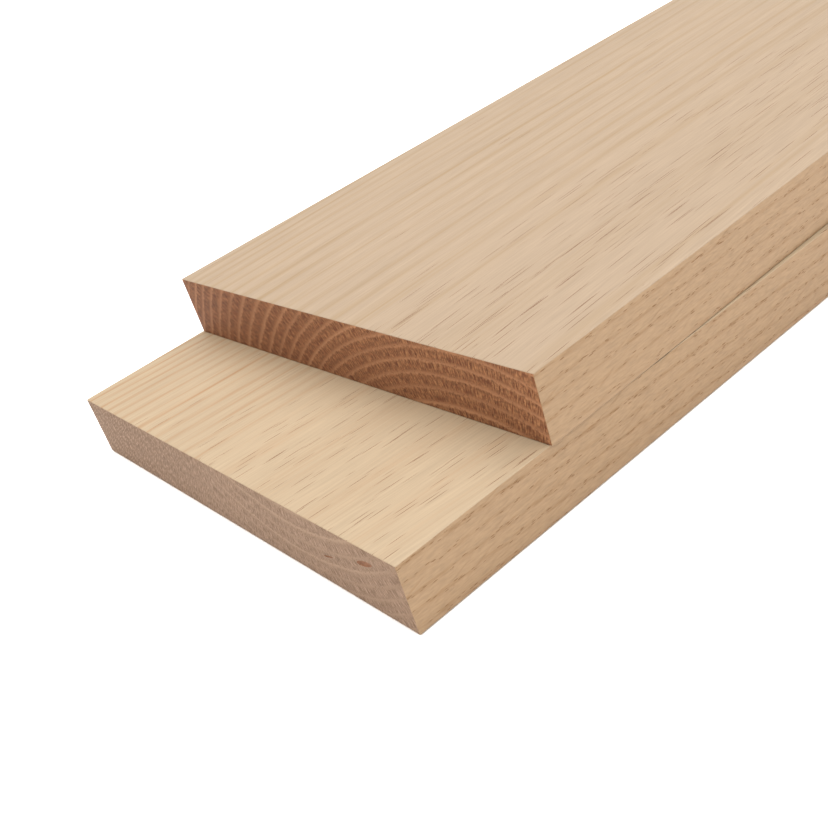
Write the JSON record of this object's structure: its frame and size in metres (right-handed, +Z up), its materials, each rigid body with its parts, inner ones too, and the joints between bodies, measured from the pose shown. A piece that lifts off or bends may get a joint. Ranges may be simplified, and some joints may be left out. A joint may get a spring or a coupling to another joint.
{
  "type": "threshold strip",
  "caption": "Flat solid-oak door threshold strip lying loose on a matching strip, set back from its front end and turned slightly askew; the upper strip lifts off.",
  "frame": {"origin": "centre of the lower strip's underside, where it beds on the floor", "axes": "+X along the strips, away from the front end; +Y across them to the left edge; +Z up, out of the tread face"},
  "size_m": [0.9607, 0.172, 0.0381],
  "materials": {
    "oak_lower": "planed, unfinished",
    "oak_upper": "planed, unfinished"
  },
  "bodies": {
    "lower": {"lower_strip": "oak_lower"},
    "upper": {"upper_strip": "oak_upper"}
  },
  "joints": [
    {"name": "lift", "type": "slide", "parent": "lower", "child": "upper", "axis": [0, 0, 1], "range_m": [0, 0.15]}
  ]
}
